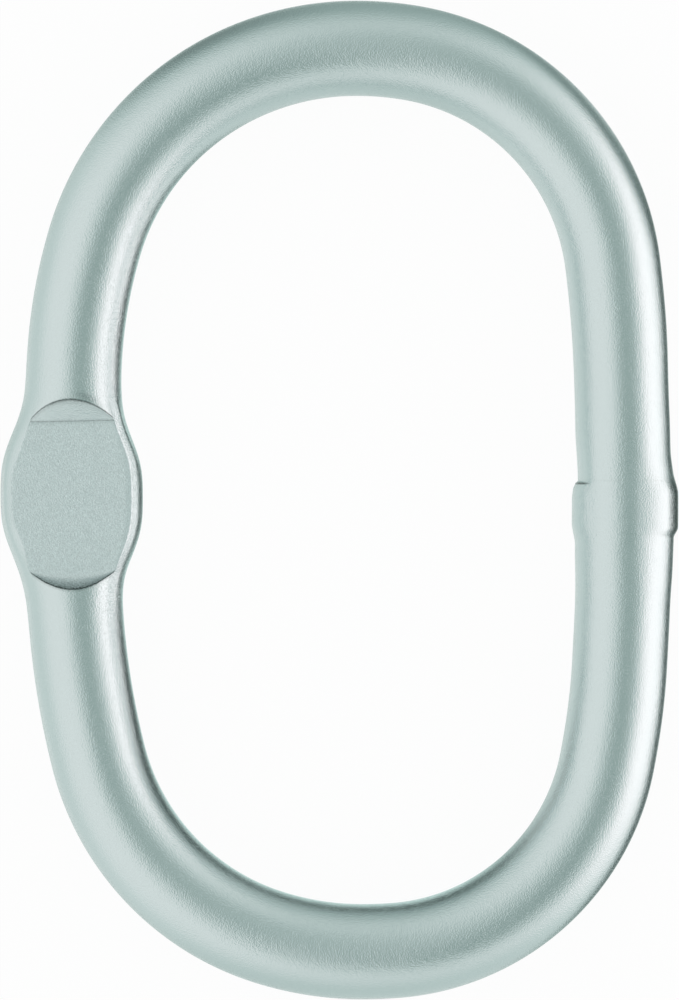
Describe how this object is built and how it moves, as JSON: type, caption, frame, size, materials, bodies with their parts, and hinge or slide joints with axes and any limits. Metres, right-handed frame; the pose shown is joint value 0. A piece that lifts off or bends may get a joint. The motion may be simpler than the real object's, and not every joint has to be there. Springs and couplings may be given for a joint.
{
  "type": "oblong master link",
  "caption": "Oblong welded link bent from round stainless bar, with a pressed flat pad in one leg; hangs on a hook or shackle and carries the legs of a lifting chain.",
  "frame": {"origin": "middle of the link's bounding box, on the middle plane of the bar", "axes": "+Y along the link's length, +Z square to the plane of the eye, the leg with the pad on the -X side and the welded leg on the +X side"},
  "size_m": [0.0922, 0.136, 0.0134],
  "materials": {
    "steel": "satin, blasted and pickled"
  },
  "bodies": {
    "root": {"master_link": "steel"}
  },
  "joints": []
}
